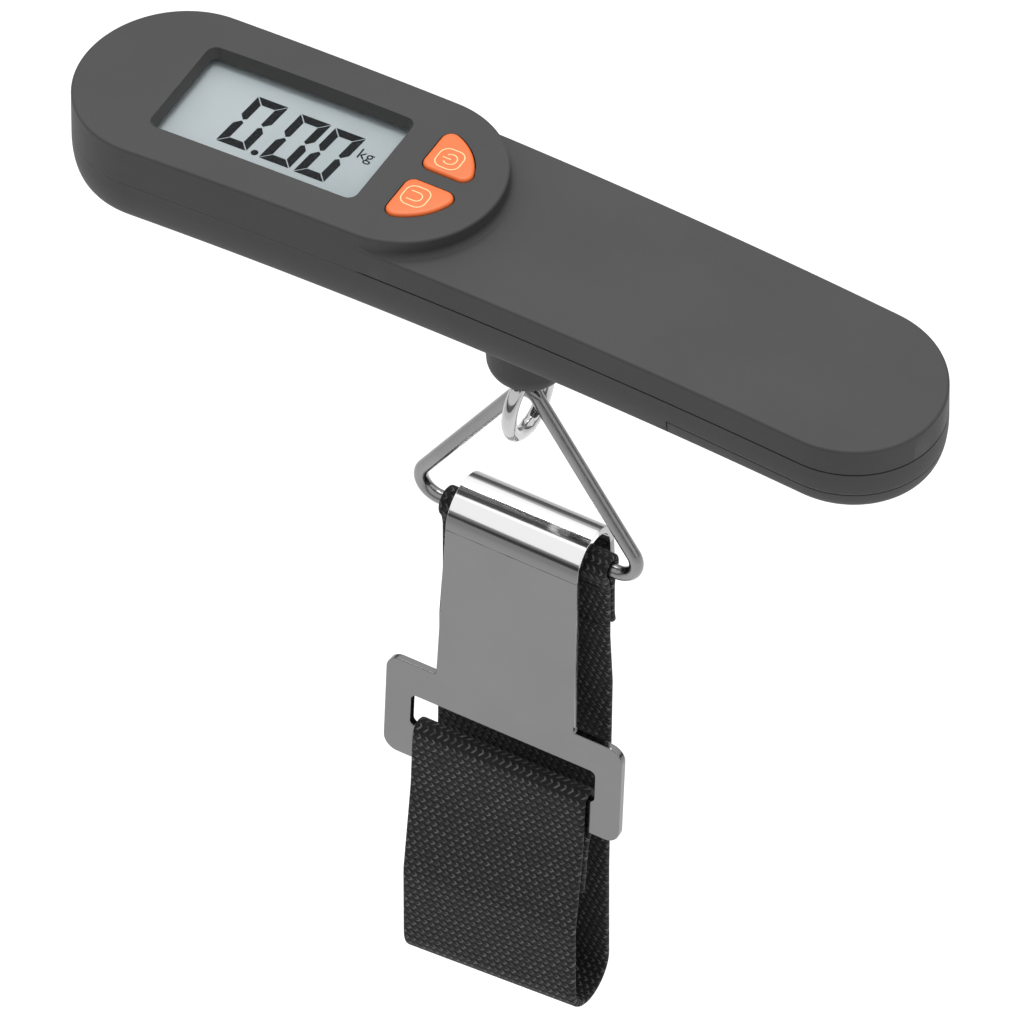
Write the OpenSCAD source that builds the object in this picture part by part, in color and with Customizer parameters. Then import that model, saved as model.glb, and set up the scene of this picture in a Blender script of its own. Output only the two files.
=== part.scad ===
// Digital luggage scale: an arched two-part housing with a raised display pad,
// a neck that carries a wire eye, a triangular ring, and a webbing strap with a hook buckle.
// Millimetres. +X runs from the display end to the handle end, +Z is up, and the strap
// hangs down -Z on the load axis. The origin lies on the load axis, at the parting plane.

/* [Housing] */
// Overall length of the housing
body_l = 156; // [150:1:165]
// End radius at the display end
display_r = 17.1; // [16.6:0.1:18]
// End radius at the handle end
handle_r = 16; // [15.6:0.1:16.6]
// Distance from the middle of the housing to the load axis
load_offset = 3.5; // [3:0.5:4]
// Radius of the gentle arch along the housing
arch_r = 886; // [800:1:1000]
// Height of the plateau above the parting plane
plateau_h = 5.1; // [5:0.1:5.4]
// Height of the display pad above the parting plane, in the middle of the housing
pad_h = 8.45; // [8.3:0.05:8.8]
// Rise of the pad towards the handle, per millimetre of length
pad_rise = 0.0143; // [0.012:0.0001:0.016]
// Distance from the middle of the housing to the end of the pad
pad_end = -2.35; // [-3:0.05:-2]
// Depth of the lower shell below the parting plane
lower_d = 8.5; // [8.4:0.1:9]
// Wall thickness
wall = 1.8; // [1.7:0.1:1.9]

/* [Window and buttons] */
// Distance from the middle of the housing to the middle of the window
window_x = -42; // [-43:0.5:-41]
// Length of the window opening at the surface
window_l = 38.6; // [37.6:0.2:39]
// Width of the window opening at the surface
window_w = 20.8; // [20:0.2:21]
// Radius of the D that the two buttons form
button_r = 10.8; // [10.4:0.1:11]
// Gap between the two buttons
button_gap = 2.8; // [2.4:0.1:3.2]
// Travel of a button
button_travel = 0.5; // [0.3:0.1:0.5]

/* [Neck and eye] */
// Radius of the neck under the housing
neck_r = 6.75; // [6.5:0.05:7]
// Height of the neck's lower end
neck_z = -26.7; // [-27:0.1:-26]
// Radius of the eye to the middle of its wire
eye_r = 6; // [5.8:0.1:6.2]
// Thickness of the eye's wire
eye_wire = 2.5; // [2.4:0.1:2.6]
// Height of the eye's centre
eye_z = -33; // [-33.2:0.1:-32.8]

/* [Ring] */
// Thickness of the ring's wire
ring_wire = 2.4; // [2.2:0.1:2.4]
// Height of the sharp apex of the ring's triangle
apex_z = -29.3; // [-29.6:0.1:-29.3]
// Height of the ring's lower bar
bar_z = -64.2; // [-64.5:0.1:-64]
// Half the length of the bar, from sharp corner to sharp corner
bar_half = 23; // [22.8:0.1:23.4]

/* [Strap] */
// Width of the webbing
strap_w = 32; // [31:0.5:32]
// Thickness of the webbing
strap_t = 1.3; // [1.2:0.1:1.3]
// Height of the centre of the bottom bend
bend_z = -153; // [-156:1:-150]
// Radius of the bottom bend, to the middle of the webbing
bend_r = 5.35; // [5.2:0.05:5.5]
// Depth of the rear limb at the bend
rear_y = -2; // [-2.2:0.1:-1.8]

/* [Buckle] */
// Thickness of the buckle's sheet steel
sheet = 1.3; // [1.2:0.1:1.3]
// Lean of the plate away from the strap, in degrees
lean = 3.9; // [3.5:0.1:4.2]
// Width of the plate at its top
plate_w = 24.3; // [24:0.1:25]
// Width of the slotted base
base_w = 43.8; // [43:0.2:45]
// Height of the slotted base
base_h = 20.2; // [20:0.2:21]
// Travel of the buckle when it is lifted off the ring
lift = 6; // [4:1:6]

/* [Hidden] */
$fn = 96;

mid_x = -load_offset;
x1 = mid_x - body_l / 2 + display_r;    // centre of the display end's arc
x2 = mid_x + body_l / 2 - handle_r;     // centre of the handle end's arc
side_a = asin((display_r - handle_r) / (x2 - x1));
pad_x = mid_x + pad_end;
arch_fn = 720;
seam = 0.3;                             // shadow gap between the shells
tall = 60;                              // height of the cutting extrusions
dark = "#4d4d4d";
steel = "#a8a8a8";

function arch_z(x) = -(x - mid_x) * (x - mid_x) / (2 * arch_r);
function half_w(x) = display_r + (handle_r - display_r) * (x - x1) / (x2 - x1);
pad_r = half_w(pad_x - display_r);      // radius of the pad's round end
pad_arch_x = mid_x + pad_rise * arch_r; // the pad's own arch peaks here
pad_arch_z = pad_h + pad_rise * pad_rise * arch_r / 2;
function pad_z(x) = pad_arch_z - (x - pad_arch_x) * (x - pad_arch_x) / (2 * arch_r);

disp_x = mid_x + window_x;
disp_tilt = atan(pad_rise - window_x / arch_r);
window_d = 2.1;                         // depth of the bevelled window recess
board_top = -7.2;                       // board height in the display frame
board_t = 1;
button_cx = pad_x - pad_r + 0.35 - disp_x;   // centre of the D in the display frame
button_cut = 1.4;                       // flat edge of the D, from its centre
key_play = 0.2;                         // gap round each button

screw_at = [[-77, 0], [-5, 11.4], [-5, -11.4], [41, 11], [41, -11], [70, 0]];
cell_x = 57;
slide_tilt = atan((cell_x - mid_x) / arch_r);  // the cover slides along the arch's tangent here
cover_z = arch_z(cell_x) - lower_d;
cover_front = -22.5;                    // front edge of the cover, in the cover frame
cover_top = 3.4;                        // upper edge of the cover's rim
cover_gap = 0.2;

beam_x = [-7, 33];
beam_z = [-4.8, 0.8];
beam_w = 12;
rod_r = 1.5;
lug_r = 2.5;
lug_t = 2.4;

// ---------- frames and shared shapes ----------
module display_frame() translate([disp_x, 0, pad_z(disp_x)]) rotate([0, -disp_tilt, 0]) children();
module cover_frame() translate([cell_x, 0, cover_z]) rotate([0, slide_tilt, 0]) children();
module across() rotate([90, 0, 90]) children();       // drawn in (y, z), extruded along x

function arc(c, r, a0, a1, n) = [for (i = [0:n]) let (a = a0 + (a1 - a0) * i / n) c + r * [cos(a), sin(a)]];
function stadium(xa, ra, xb, rb) = concat(arc([xb, 0], rb, side_a - 90, 90 - side_a, 40),
    arc([xa, 0], ra, 90 - side_a, 270 + side_a, 40));
module plan(inset = 0) polygon(stadium(x1, display_r - inset, x2, handle_r - inset));
module pad_plan(inset = 0) polygon(stadium(x1, display_r - inset, pad_x - pad_r, pad_r - inset));
module column(z = -tall / 2) translate([0, 0, z]) linear_extrude(tall) children();
module under_arch(h) rotate([90, 0, 0]) translate([mid_x, -arch_r, 0])
    cylinder(h = tall, r = arch_r + h, center = true, $fn = arch_fn);
module under_pad(h) rotate([90, 0, 0]) translate([pad_arch_x, pad_arch_z - arch_r, 0])
    cylinder(h = tall, r = arch_r + h, center = true, $fn = arch_fn);
module rounded(l, w, r) {
    square([l - 2 * r, w], center = true);
    square([l, w - 2 * r], center = true);
    for (sx = [-1, 1], sy = [-1, 1]) translate([sx * (l / 2 - r), sy * (w / 2 - r)]) circle(r, $fn = 32);
}
module plate(l, w, z0, z1, r = 0.8) translate([0, 0, z0]) linear_extrude(z1 - z0) rounded(l, w, r);
module bore(x, y, r, z0, z1) translate([x, y, z0]) cylinder(h = z1 - z0, r = r, $fn = 48);

// A webbing or sheet cross-section: a path of middle points, given a thickness.
function dir(p, i) = let (a = p[max(i - 1, 0)], b = p[min(i + 1, len(p) - 1)]) (b - a) / norm(b - a);
function side(p, t, s) = [for (i = [0:len(p) - 1]) p[i] + s * t / 2 * [-dir(p, i)[1], dir(p, i)[0]]];
function flip(v) = [for (i = [len(v) - 1:-1:0]) v[i]];
module ribbon(p, t, w) across() linear_extrude(w, center = true)
    polygon(concat(side(p, t, 1), flip(side(p, t, -1))));

// A round wire swept along a list of points; up fixes how its facets turn, loop closes it.
function unit(v) = v / norm(v);
function along(p, i, loop) = let (n = len(p))
    unit(p[loop ? (i + 1) % n : min(i + 1, n - 1)] - p[loop ? (i + n - 1) % n : max(i - 1, 0)]);
module wire(p, r, up = [0, 0, 1], n = 8, loop = false) {
    m = len(p);
    points = [for (i = [0:m - 1]) let (t = along(p, i, loop), a = unit(cross(t, up)), b = cross(a, t))
        for (k = [0:n - 1]) p[i] + r * (cos(360 * k / n) * a + sin(360 * k / n) * b)];
    sides = [for (i = [0:loop ? m - 1 : m - 2], k = [0:n - 1]) let (j = (i + 1) % m, l = (k + 1) % n)
        each [[i * n + k, i * n + l, j * n + l], [i * n + k, j * n + l, j * n + k]]];
    ends = loop ? [] : [[for (k = [n - 1:-1:0]) k], [for (k = [0:n - 1]) (m - 1) * n + k]];
    polyhedron(points, concat(sides, ends), convexity = 6);
}

// ---------- housing ----------
module window_cut() display_frame() translate([0.3, -0.1, 0]) hull() {
    translate([0, 0, -window_d - 0.01]) linear_extrude(0.01) offset(0.9, $fn = 24)
        square([window_l - 3.9, window_w - 4], center = true);
    translate([0, 0, 0.6]) linear_extrude(0.01) offset(2.2, $fn = 24)
        square([window_l - 3.8, window_w - 3.8], center = true);
}
// Half of the buttons' D, side = 1 towards +Y and -1 towards -Y, grown outwards by g.
module half_d(side, g) intersection() {
    translate([button_cx, 0]) circle(button_r + g);
    translate([button_cx + button_cut - g, side > 0 ? button_gap / 2 - g : -button_gap / 2 - button_r - g])
        square([button_r, button_r + 2 * g]);
}
module screw_post(x, y, r0, r1, z0, z1) translate([x, y, z0]) difference() {
    cylinder(h = z1 - z0, r = r1, $fn = 48);
    translate([0, 0, -1]) cylinder(h = z1 - z0 + 2, r = r0, $fn = 48);
}
board_post_at = [for (u = [-21.6, 20.6], v = [-12.3, 12.3]) [u, v]];
module top_shell() color(dark) {
    difference() {
        union() {
            intersection() { column() plan(); under_arch(plateau_h); }
            intersection() { column() pad_plan(); under_pad(0); }
        }
        under_arch(0);
        difference() {
            union() {
                intersection() { column() plan(wall); under_arch(plateau_h - wall); }
                intersection() { column() pad_plan(wall); under_pad(-wall); }
            }
            display_frame() plate(44, 25, -window_d, 1, 1);
            display_frame() for (p = board_post_at) bore(p[0], p[1], 1.7, board_top, 1);
            for (p = screw_at) bore(p[0], p[1], 2.6, arch_z(p[0]), 12);
        }
        intersection() { column() plan(0.9); under_arch(1); }
        window_cut();
        display_frame() for (s = [-1, 1]) translate([0, 0, -6]) linear_extrude(10) half_d(s, key_play);
        display_frame() for (p = board_post_at) bore(p[0], p[1], 0.8, board_top - 1, -2.4);
        for (p = screw_at) bore(p[0], p[1], 1.02, -9, 2.6 + arch_z(p[0]));
    }
}
module lower_outer(gap) intersection() {
    difference() { column() plan(); under_arch(-lower_d); }
    under_arch(-gap);
}
neck_in = 4.2;
neck_fillet = 4;
flare = 4;
module neck_solid() rotate_extrude() polygon(concat(
    [[0, -5], [neck_r + flare, -5], [neck_r + flare, -lower_d + 0.2]],
    [for (i = [1:8]) let (a = 90 * i / 8)
        [neck_r + flare - flare * sin(a), -lower_d + 0.2 - flare * (1 - cos(a))]],
    [for (i = [0:8]) let (a = 90 * i / 8)
        [neck_r - neck_fillet * (1 - cos(a)), neck_z + neck_fillet * (1 - sin(a))]],
    [[0, neck_z]]));
module cover_block(g) cover_frame() translate([cover_front - g, -30, -10])
    linear_extrude(10 + cover_top + g) square([80, 60]);
module bottom_shell() color(dark) difference() {
    union() {
        difference() {
            lower_outer(seam);
            difference() {
                intersection() { column() plan(3); under_arch(4); }
                under_arch(-lower_d + wall);
                for (p = screw_at) bore(p[0], p[1], 3, -20, 8);
                translate([27, 0, -12]) linear_extrude(12 + beam_z[0]) square([13, 15], center = true);
                cover_frame() translate([0, 0, 5.5]) linear_extrude(1.2) translate([6, 0]) square([58, 40], center = true);
                cover_frame() bore(0, 0, 11.6, 3.7, 6);
            }
        }
        difference() {
            intersection() { column() plan(1); under_arch(0.8); }
            column() plan(wall);
            under_arch(-seam - 0.5);
        }
        intersection() { neck_solid(); under_arch(-lower_d + wall - 0.5); }
    }
    translate([0, 0, -40]) cylinder(h = 60, r = neck_in);
    cover_block(cover_gap);
    cover_frame() bore(0, 0, 10.3, -1, 5.5);
    cover_frame() translate([-10.1, 0, -1]) linear_extrude(6.5) square([1.2, 5.6], center = true);
    for (p = screw_at) {
        bore(p[0], p[1], 1.15, -20, 5);
        bore(p[0], p[1], 2.1, -20, arch_z(p[0]) - 3.6);
    }
    for (x = [24, 30]) bore(x, 0, 1.25, -6.4, 0);
}
module battery_cover() color(dark) difference() {
    intersection() { lower_outer(0); cover_block(0); }
    cover_frame() translate([0, 0, 1.6]) linear_extrude(20) intersection() {
        translate([-cell_x, 0]) plan(3.4);
        translate([cover_front + 2, -30]) square([80, 60]);
    }
    cover_frame() translate([cover_front - 1, -10.8, 1.6]) cube([12, 21.6, 20]);
    cover_frame() for (i = [0:3]) translate([cover_front + 6 + 2 * i, 0, -0.6]) linear_extrude(1.1)
        rounded(0.9, 14 - 2 * i, 0.4);
}
module neck_bushing() color("black") screw_post(0, 0, 1.8, 4.15, -18, -13);
module housing_screws() color("silver") for (p = screw_at) {
    z = arch_z(p[0]) - 3.6;
    difference() {
        union() {
            bore(p[0], p[1], 1.9, z - 1.3, z);
            bore(p[0], p[1], 0.97, z - 0.1, z + 6);
        }
        for (a = [0, 90]) translate([p[0], p[1], z - 1.5]) rotate([0, 0, a]) linear_extrude(0.9) square([2.2, 0.45], center = true);
    }
}

// ---------- display and board ----------
module display_lens() color("lightblue", 0.4) display_frame() plate(38.8, 20.8, -window_d - 1.05, -window_d - 0.05);
module lcd_glass() color("#a0acb0") display_frame() plate(38.2, 21, -window_d - 2.9, -window_d - 1.2, 0.3);
module lcd_reflector() color("#c8d0d2") display_frame() plate(33, 15, -window_d - 3.2, -window_d - 2.95, 0.3);
module lcd_holder() color("white") display_frame() difference() {
    plate(41, 23.6, board_top + 0.05, -window_d - 1.15);
    plate(38.5, 21.3, board_top - 1, 0, 0.3);
    for (p = board_post_at) bore(p[0], p[1], 2, board_top - 1, 0);
}
module zebra_strips() color("pink") display_frame() for (s = [-1, 1])
    translate([0, s * 8.6, 0]) plate(33, 1.6, board_top + 0.05, -window_d - 2.95, 0.2);
module circuit_board() color("green") display_frame() difference() {
    translate([4.5, 0, 0]) plate(61, 27, board_top - board_t, board_top, 3);
    for (p = board_post_at) bore(p[0], p[1], 1.05, -10, -6);
}
module board_screws() color("silver") display_frame() for (p = board_post_at) {
    bore(p[0], p[1], 0.75, board_top - board_t, board_top + 3);
    bore(p[0], p[1], 1.3, board_top - board_t - 1.1, board_top - board_t);
}
module controller_chip() color("black") display_frame() translate([-4, 0, board_top - board_t - 1.6]) intersection() {
    cylinder(h = 1.6, r = 5.5);
    translate([0, 0, 10.2]) sphere(10.4);
}
module board_components() color("tan") display_frame() {
    for (i = [0:4]) translate([6 + 2.6 * i, 5.5, 0]) plate(1.6, 0.8, board_top - board_t - 0.7, board_top - board_t, 0.1);
    for (i = [0:3]) translate([6 + 2.6 * i, -5.5, 0]) plate(1.6, 0.8, board_top - board_t - 0.7, board_top - board_t, 0.1);
    translate([22, 0, 0]) plate(5, 4, board_top - board_t - 1.6, board_top - board_t, 0.2);
    bore(-15, 7, 1.5, board_top - board_t - 2.6, board_top - board_t);
}

// ---------- buttons ----------
key_u = button_cx + 5.2;                // where each plunger stands in the display frame
key_v = 4.9;
switch_h = 2.4;
module tact_switch(s) display_frame() translate([key_u, s * key_v, 0]) difference() {
    plate(5, 4, board_top + 0.02, board_top + switch_h, 0.3);
    bore(0, 0, 1.05, board_top + 0.8, board_top + switch_h + 1);
}
module power_switch() color("dimgray") tact_switch(1);
module unit_switch() color("dimgray") tact_switch(-1);
module plunger(s) display_frame() translate([key_u, s * key_v, 0])
    bore(0, 0, 0.95, board_top + 0.8 + button_travel + 0.1, board_top + switch_h + 0.8);
module power_plunger() color("white") plunger(1);
module unit_plunger() color("white") plunger(-1);
module key(s) {
    crown = 0.3;
    display_frame() intersection() {
        translate([0, 0, -2.6]) linear_extrude(8) half_d(s, 0);
        translate([key_u, 0, crown - key_u * key_u / (2 * arch_r)]) rotate([0, atan(key_u / arch_r), 0])
            translate([0, 0, -10]) cube([60, 60, 20], center = true);
    }
    display_frame() intersection() {
        translate([0, 0, -3.3]) linear_extrude(0.7) half_d(s, 0.9);
        translate([0, s * 20 + s * 0.6, -5]) linear_extrude(5) square([100, 40], center = true);
    }
    display_frame() translate([key_u, s * key_v, 0]) bore(0, 0, 1.2, board_top + switch_h + 0.82, -3.2);
}
module power_button() color("#ff8c46") key(1);
module unit_button() color("#ff8c46") key(-1);

// ---------- load cell ----------
module load_cell() color("silver") difference() {
    translate([beam_x[0], -beam_w / 2, beam_z[0]]) cube([beam_x[1] - beam_x[0], beam_w, beam_z[1] - beam_z[0]]);
    rotate([90, 0, 0]) for (x = [8.5, 16.5]) translate([x, (beam_z[0] + beam_z[1]) / 2, 0]) cylinder(h = 20, r = 2, center = true, $fn = 48);
    translate([12.5, 0, (beam_z[0] + beam_z[1]) / 2]) cube([8, 20, 1.6], center = true);
    bore(0, 0, rod_r + 0.05, -10, 5);
    for (x = [24, 30]) bore(x, 0, 1.6, -10, 5);
}
module strain_gauges() color("ivory") for (z = [beam_z[0] - 0.5, beam_z[1] + 0.02]) translate([12.5, 0, z]) linear_extrude(0.48) rounded(14, 7, 1);
module load_cell_screws() color("silver") for (x = [24, 30]) {
    bore(x, 0, 1.2, -6.2, beam_z[1]);
    difference() {
        bore(x, 0, 2.6, beam_z[1] + 0.02, beam_z[1] + 1.4);
        translate([x, 0, beam_z[1] + 0.8]) linear_extrude(1) rotate(45) square([3.4, 0.6], center = true);
    }
}
module load_cell_wires() color("white") for (i = [0:3]) {
    z = 0.3 - 0.85 * i;
    wire([[12 + i, -5.4, beam_z[1] + 0.8], [10.5 + i, -6.6, beam_z[1] + 0.3], [9 + i, -7.2, z], [3, -7.2, z],
        [-3, -7.2, z + 0.2], [-8, -7.2, z + 0.8], [-9.4, -6.6 + 1.6 * i, 2.35]], 0.35);
}
module pull_rod() color("silver") {
    translate([0, 0, eye_z + eye_r + lug_r - 0.4]) cylinder(h = 2.9 - (eye_z + eye_r + lug_r - 0.4), r = rod_r, $fn = 48);
    difference() {
        rotate([90, 0, 0]) translate([0, eye_z + eye_r, 0]) cylinder(h = lug_t, r = lug_r, center = true);
        rotate([90, 0, 0]) translate([0, eye_z + eye_r, 0]) cylinder(h = 9, r = 1.5, center = true);
    }
}
module rod_nut() color("silver") translate([0, 0, beam_z[1] + 0.02]) difference() {
    cylinder(h = 1.9, r = 3.1, $fn = 6);
    translate([0, 0, -1]) cylinder(h = 5, r = rod_r + 0.02, $fn = 48);
}

// ---------- battery ----------
module coin_cell() color("silver") cover_frame() {
    bore(0, 0, 10, 1.95, 4.75);
    bore(0, 0, 8.6, 4.7, 5.1);
}
module positive_contact() color("gold") cover_frame() {
    translate([-10.26, 0, 2]) linear_extrude(3.4) square([0.3, 5], center = true);
}
module negative_contact() color("gold") cover_frame() {
    plate(12, 3, 5.14, 5.44, 0.5);
}
module battery_wire(i) {
    z = 0.2 - 1.15 * i;
    wire([[45 - 4 * i, 4.5 + 0.4 * i, -2.4 + 0.2 * i], [38, 7.4, z - 0.8], [30, 7.4, z - 0.2], [20, 7.3, z], [5, 7.3, z],
        [-3, 7.3, z + 0.2], [-8, 7.3, z + 0.8], [-9.4, 6 - 1.9 * i, 2.5]], 0.5);
}
module red_wire() color("red") battery_wire(0);
module black_wire() color("black") battery_wire(1);

// ---------- eye and ring ----------
module eye() color(steel) translate([0, 0, eye_z]) rotate([0, 90, 0]) rotate_extrude() translate([eye_r, 0]) circle(eye_wire / 2, $fn = 32);
half_apex = atan(bar_half / (apex_z - bar_z));
apex_bend = 2;
corner_bend = 3.6;
function in_plane(p) = [for (q = p) [q[0], 0, q[1]]];
module ring() color(steel) {
    apex_c = [0, apex_z - apex_bend / sin(half_apex)];
    corner_c = [bar_half - corner_bend / tan((90 - half_apex) / 2), bar_z + corner_bend];
    wire(in_plane(concat(
        arc(apex_c, apex_bend, 180 - half_apex, half_apex, 10),
        arc(corner_c, corner_bend, half_apex, -90, 12),
        arc([-corner_c[0], corner_c[1]], corner_bend, -90, -180 - half_apex, 12))),
        ring_wire / 2, [0, 1, 0], 24, true);
}

// ---------- strap ----------
loop_in = ring_wire / 2 + 0.08;
loop_out = loop_in + 2 * strap_t;
sewn_z = bar_z - 13;                     // lower end of the doubled top
module strap_loop() color("#262626") across() linear_extrude(strap_w - 1.2, center = true) difference() {
    union() {
        translate([0, bar_z]) circle(loop_out);
        translate([-strap_t, sewn_z]) square([2 * strap_t, bar_z - sewn_z - 1.5]);
    }
    translate([0, bar_z]) circle(loop_in, $fn = 48);
}
rear_path = [[-strap_t / 2, sewn_z - 0.02], [-0.9, sewn_z - 12], [-1.4, sewn_z - 30], [rear_y, bend_z + 20], [rear_y, bend_z]];
module strap_rear() color("#262626") ribbon(rear_path, strap_t, strap_w);
module stitch_row(z, y, w) for (i = [-9:9]) translate([i * w / 19, y, z]) cube([0.9, 0.3, 0.35], center = true);
module strap_stitching() color("black") for (z = [-3.9, -12.4], s = [-1, 1]) stitch_row(bar_z + z, s * (strap_t + 0.18), 28);
bend_c = [rear_y - bend_r, bend_z];
module strap_bend() color("#262626") ribbon(arc(bend_c, bend_r, -0.5, -180, 20), strap_t, strap_w);

// The plate's middle surface, at a distance s below the hook.
hook_c = [0.4, bar_z - 0.1];
hook_mid = [5.35, 5.35];
plate_y = hook_c[0] - hook_mid[0];
function plate_p(s, off = 0) = [plate_y - s * sin(lean) - off * cos(lean), hook_c[1] - s * cos(lean) + off * sin(lean)];
base_top = 32.4;                          // where the slotted base starts, along the plate
slot_top = base_top + 6.6;
slot_h = 6.6;
over = sheet / 2 + strap_t / 2 + 0.15;    // from the sheet's middle to the webbing's
wrap_s = slot_top + slot_h + strap_t / 2 + 0.1 - strap_t - 0.2;
front_y = rear_y - 2 * bend_r;
front_path = concat([[front_y, bend_z + 0.3], [front_y, bend_z + 14], plate_p(base_top + base_h + 3.5, over - 0.2)],
    [for (a = [0:30:180]) plate_p(wrap_s - over * sin(a) + 1.2, over * cos(a))]);
tail_path = [plate_p(wrap_s + 1.6, -over), plate_p(base_top + base_h + 0.8, -over),
    plate_p(base_top + base_h + 4.6, over - strap_t - 0.4), [front_y + 2.9, bend_z + 22]];
module strap_front() color("#262626") ribbon(front_path, strap_t, strap_w);
module strap_tail() color("#262626") ribbon(tail_path, strap_t, strap_w);
module tail_stitching() color("black") stitch_row(bend_z + 24, front_y + 4.07, 28);

module base_plan() {
    bottom_w = plate_w + 1.3;
    polygon([[-plate_w / 2, 0.02], [plate_w / 2, 0.02], [bottom_w / 2, -base_top - 3], [-bottom_w / 2, -base_top - 3]]);
    difference() {
        translate([0, -base_top - base_h / 2]) rounded(base_w, base_h, 2.6);
        translate([0, -slot_top - slot_h / 2]) rounded(34.2, slot_h, 1);
    }
}
module buckle() color(steel) {
    hook_path = concat([plate_p(0.4)], [for (a = [180:-10:0]) [hook_c[0] + hook_mid[0] * cos(a), hook_c[1] + hook_mid[1] * sin(a)]],
        [[hook_c[0] + hook_mid[0] + 0.2, hook_c[1] - 4.2]]);
    ribbon(hook_path, sheet, plate_w);
    translate([0, plate_y, hook_c[1]]) rotate([90 - lean, 0, 0]) linear_extrude(sheet, center = true) base_plan();
}

top_shell();
bottom_shell();
neck_bushing();
housing_screws();
display_lens();
lcd_glass();
lcd_reflector();
lcd_holder();
zebra_strips();
circuit_board();
board_screws();
controller_chip();
board_components();
power_switch();
unit_switch();
power_button();
power_plunger();
unit_button();
unit_plunger();
load_cell();
strain_gauges();
load_cell_screws();
load_cell_wires();
pull_rod();
rod_nut();
coin_cell();
positive_contact();
negative_contact();
red_wire();
black_wire();
battery_cover();
eye();
ring();
strap_loop();
strap_rear();
strap_stitching();
strap_bend();
strap_front();
strap_tail();
tail_stitching();
buckle();
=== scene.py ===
# %% [markdown]
# # A digital luggage scale
#
# An arched plastic housing with a display and two keys is held in the hand. A neck under it
# carries a wire eye, the eye carries a triangle of wire, and a webbing strap with a hook
# buckle hangs from the triangle. The CAD model is loaded first and stays the frame for
# everything: each finer piece is worked out in its millimetres and rides on its bodies.

# %% Load the frame
import math
import bmesh
import bpy
import numpy as np
from mathutils import Matrix, Vector


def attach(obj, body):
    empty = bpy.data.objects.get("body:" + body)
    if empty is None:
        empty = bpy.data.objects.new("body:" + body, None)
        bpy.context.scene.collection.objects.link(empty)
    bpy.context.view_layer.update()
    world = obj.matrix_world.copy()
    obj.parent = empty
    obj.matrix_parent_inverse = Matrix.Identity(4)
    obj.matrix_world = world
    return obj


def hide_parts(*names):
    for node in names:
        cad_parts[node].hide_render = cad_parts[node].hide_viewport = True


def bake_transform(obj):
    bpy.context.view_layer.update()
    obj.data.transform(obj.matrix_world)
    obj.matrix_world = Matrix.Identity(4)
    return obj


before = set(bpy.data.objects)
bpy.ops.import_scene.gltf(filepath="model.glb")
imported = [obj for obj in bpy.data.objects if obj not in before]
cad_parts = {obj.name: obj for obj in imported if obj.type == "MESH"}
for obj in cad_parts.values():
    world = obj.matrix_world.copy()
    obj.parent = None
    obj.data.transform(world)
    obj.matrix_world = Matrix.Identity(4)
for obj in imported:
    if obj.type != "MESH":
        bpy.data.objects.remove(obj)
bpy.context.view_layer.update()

MM = 0.001
scene = bpy.context.scene

# %% [markdown]
# The camera stands far away with a long lens, so that parallel edges stay nearly parallel.
# Three unit vectors describe it: right, up, and back, from the object to the camera.

# %% Camera
AZIMUTH, ELEVATION, ROLL = math.radians(30.566), math.radians(46.421), math.radians(-0.159)
CAMERA_DISTANCE, LENS = 5.042, 1120.5
HOUSING_MIDDLE = Vector((-3.5, 0, 0))

right = Vector((math.cos(AZIMUTH), math.sin(AZIMUTH), 0))
back = Vector((math.sin(AZIMUTH) * math.cos(ELEVATION), -math.cos(AZIMUTH) * math.cos(ELEVATION),
               math.sin(ELEVATION)))
up = back.cross(right)
aim = (HOUSING_MIDDLE + right * 0.365 - up * 42.0) * MM
camera = bpy.data.objects.new("camera", bpy.data.cameras.new("camera"))
scene.collection.objects.link(camera)
camera.data.lens = LENS
camera.data.sensor_width = 36
camera.data.clip_end = 60
camera.matrix_world = Matrix.Translation(aim + back * CAMERA_DISTANCE) @ Matrix(
    (right, up, back)).transposed().to_4x4() @ Matrix.Rotation(ROLL, 4, "Z")
scene.camera = camera
scene.view_settings.view_transform = "Standard"
print("camera at", [round(c, 3) for c in camera.location])

# %% [markdown]
# Shader maths reads like arithmetic: a Value wraps one socket, and an expression on Values
# adds the Math nodes it needs.

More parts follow.
